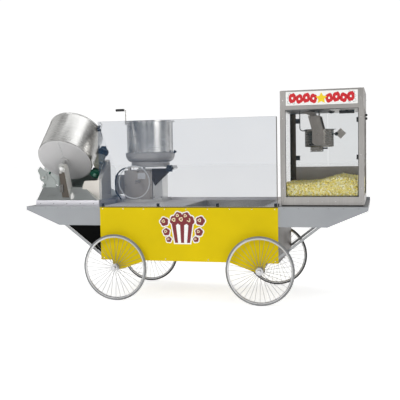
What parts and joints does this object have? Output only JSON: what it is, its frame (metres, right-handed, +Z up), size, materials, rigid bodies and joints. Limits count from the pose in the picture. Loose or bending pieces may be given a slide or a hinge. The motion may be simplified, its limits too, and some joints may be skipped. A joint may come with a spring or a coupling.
{
  "type": "popcorn wagon",
  "caption": "Spoked-wheel counter wagon with a glass kettle popper, a tilting cooker-mixer, a lift-out cooling tray and a sloped rotating coating drum behind a clear guard.",
  "frame": {"origin": "on the floor, under the middle of the wagon's body", "axes": "+X along the wagon towards the popper, +Y towards the operator's side, +Z up"},
  "size_m": [3.1714, 1.0706, 1.8609],
  "materials": {
    "stainless": "brushed",
    "frame_paint": "satin",
    "yellow_paint": "satin",
    "end_paint": "satin",
    "wing_paint": "satin",
    "cabinet_metal": "satin",
    "black_rubber": "matte",
    "tyre": "matte",
    "wheel_metal": "bright zinc",
    "clear_sheet": "clear",
    "cabinet_glass": "clear",
    "kettle_steel": "worn brushed",
    "drum_steel": "brushed",
    "black_plastic": "gloss",
    "sign_face": "gloss, printed",
    "corn": "popped corn, mostly air",
    "grey_paint": "satin",
    "green_urethane": "satin",
    "lamp_black": "matte",
    "conduit_black": "satin",
    "door_black": "matte"
  },
  "bodies": {
    "wagon": {"wagon_frame": "frame_paint", "front_panel": "yellow_paint", "rear_panel": "yellow_paint", "end_panels": "end_paint", "deck": "stainless", "left_wing": "wing_paint", "right_wing": "wing_paint", "wing_struts": "wing_paint", "left_wing_webs": "black_rubber", "axles": "wheel_metal", "guard_panels": "clear_sheet", "guard_clamps": "black_plastic", "popper_feet": "black_rubber", "popper_base": "cabinet_metal", "popper_posts": "cabinet_metal", "popper_head": "cabinet_metal", "popper_sign": "sign_face", "popper_lamp": "lamp_black", "popper_glass": "cabinet_glass", "popped_corn": "corn", "popper_yoke": "kettle_steel", "mixer_base": "stainless", "mixer_gearbox": "grey_paint", "mixer_column": "stainless", "mixer_conduit": "conduit_black", "tumbler_base": "stainless", "tumbler_cradle": "stainless", "tumbler_housing": "stainless", "tumbler_motor": "grey_paint", "tumbler_arm": "stainless"},
    "tray": {"cooling_tray": "stainless"},
    "popper_left_door": {"popper_door_left": "cabinet_glass", "popper_door_left_fittings": "door_black"},
    "popper_right_door": {"popper_door_right": "cabinet_glass", "popper_door_right_fittings": "door_black"},
    "kettle": {"popper_kettle": "kettle_steel", "popper_kettle_handle": "black_plastic"},
    "kettle_flap": {"popper_lid_flap": "kettle_steel"},
    "kettle_stirrer": {"popper_stirrer": "kettle_steel"},
    "drive_shaft": {"popper_drive_shaft": "kettle_steel"},
    "heat_knob": {"popper_heat_knob": "black_plastic"},
    "motor_knob": {"popper_motor_knob": "black_plastic"},
    "bowl": {"mixer_bowl": "drum_steel", "mixer_jacket": "grey_paint", "mixer_tilt_plate": "stainless", "mixer_grips": "black_plastic"},
    "paddle": {"mixer_paddle": "stainless"},
    "handwheel": {"mixer_handwheel": "wheel_metal"},
    "clamp_knob": {"mixer_clamp_knob": "black_plastic"},
    "drum": {"tumbler_drum": "drum_steel"},
    "drive_roller": {"tumbler_drive_roller": "green_urethane"},
    "idler_roller": {"tumbler_idler_roller": "green_urethane"},
    "front_left_wheel": {"wheel_front_left": "wheel_metal", "tyre_front_left": "tyre"},
    "front_right_wheel": {"wheel_front_right": "wheel_metal", "tyre_front_right": "tyre"},
    "rear_left_wheel": {"wheel_rear_left": "wheel_metal", "tyre_rear_left": "tyre"},
    "rear_right_wheel": {"wheel_rear_right": "wheel_metal", "tyre_rear_right": "tyre"}
  },
  "joints": [
    {"name": "front_left_wheel_spin", "type": "hinge", "parent": "wagon", "child": "front_left_wheel", "pos_m": [-0.672, -0.488, 0.305], "axis": [0, 1, 0], "continuous": true},
    {"name": "front_right_wheel_spin", "type": "hinge", "parent": "wagon", "child": "front_right_wheel", "pos_m": [0.672, -0.488, 0.305], "axis": [0, 1, 0], "continuous": true},
    {"name": "rear_left_wheel_spin", "type": "hinge", "parent": "wagon", "child": "rear_left_wheel", "pos_m": [-0.672, 0.488, 0.305], "axis": [0, 1, 0], "continuous": true},
    {"name": "rear_right_wheel_spin", "type": "hinge", "parent": "wagon", "child": "rear_right_wheel", "pos_m": [0.672, 0.488, 0.305], "axis": [0, 1, 0], "continuous": true},
    {"name": "tray_lift", "type": "slide", "parent": "wagon", "child": "tray", "axis": [0, 0, 1], "range_m": [0, 0.25]},
    {"name": "popper_left_door_hinge", "type": "hinge", "parent": "wagon", "child": "popper_left_door", "pos_m": [0.8925, 0.3645, 1.4], "axis": [0, 0, 1], "range_deg": [0, 110]},
    {"name": "popper_right_door_hinge", "type": "hinge", "parent": "wagon", "child": "popper_right_door", "pos_m": [1.5015, 0.3645, 1.4], "axis": [0, 0, -1], "range_deg": [0, 110]},
    {"name": "kettle_tilt", "type": "hinge", "parent": "wagon", "child": "kettle", "pos_m": [1.147, 0, 1.486], "axis": [0, 1, 0], "range_deg": [0, 100]},
    {"name": "kettle_flap_hinge", "type": "hinge", "parent": "kettle", "child": "kettle_flap", "pos_m": [1.1675, 0, 1.5332], "axis": [0, -1, 0], "range_deg": [0, 85]},
    {"name": "kettle_stirrer_spin", "type": "hinge", "parent": "kettle", "child": "kettle_stirrer", "pos_m": [1.147, 0, 1.528], "axis": [0, 0, 1], "continuous": true},
    {"name": "drive_shaft_spin", "type": "hinge", "parent": "wagon", "child": "drive_shaft", "pos_m": [1.147, 0, 1.69], "axis": [0, 0, 1], "continuous": true},
    {"name": "heat_knob_turn", "type": "hinge", "parent": "wagon", "child": "heat_knob", "pos_m": [1.552, -0.02, 1.644], "axis": [1, 0, 0], "range_deg": [-90, 0]},
    {"name": "motor_knob_turn", "type": "hinge", "parent": "wagon", "child": "motor_knob", "pos_m": [1.552, -0.02, 1.614], "axis": [1, 0, 0], "range_deg": [-90, 0]},
    {"name": "bowl_tilt", "type": "hinge", "parent": "wagon", "child": "bowl", "pos_m": [-0.307, 0.2, 1.192], "axis": [0, 1, 0], "range_deg": [0, 100]},
    {"name": "paddle_spin", "type": "hinge", "parent": "bowl", "child": "paddle", "pos_m": [-0.54, 0.195, 1.4], "axis": [0, 0, 1], "continuous": true},
    {"name": "handwheel_turn", "type": "hinge", "parent": "wagon", "child": "handwheel", "pos_m": [-0.6434, -0.012, 1.06393], "axis": [0, 1, 0], "range_deg": [0, 360]},
    {"name": "clamp_knob_turn", "type": "hinge", "parent": "wagon", "child": "clamp_knob", "pos_m": [-0.307, 0.09, 1.192], "axis": [0, 1, 0], "range_deg": [0, 180]},
    {"name": "drum_spin", "type": "hinge", "parent": "wagon", "child": "drum", "pos_m": [-1.284, -0.2, 1.285], "axis": [0, 0.7071, 0.7071], "continuous": true},
    {"name": "drive_roller_spin", "type": "hinge", "parent": "wagon", "child": "drive_roller", "pos_m": [-1.03353, -0.05658, 1.14158], "axis": [0, 0.7071, 0.7071], "continuous": true},
    {"name": "idler_roller_spin", "type": "hinge", "parent": "wagon", "child": "idler_roller", "pos_m": [-1.53447, -0.05658, 1.14158], "axis": [0, 0.7071, 0.7071], "continuous": true}
  ],
  "couplings": [
    {"joint": "handwheel_turn", "follows": "bowl_tilt", "ratio": 3.6},
    {"joint": "drive_shaft_spin", "follows": "kettle_stirrer_spin", "ratio": 1},
    {"joint": "drive_roller_spin", "follows": "drum_spin", "ratio": -5.1923},
    {"joint": "idler_roller_spin", "follows": "drum_spin", "ratio": -5.1923}
  ]
}
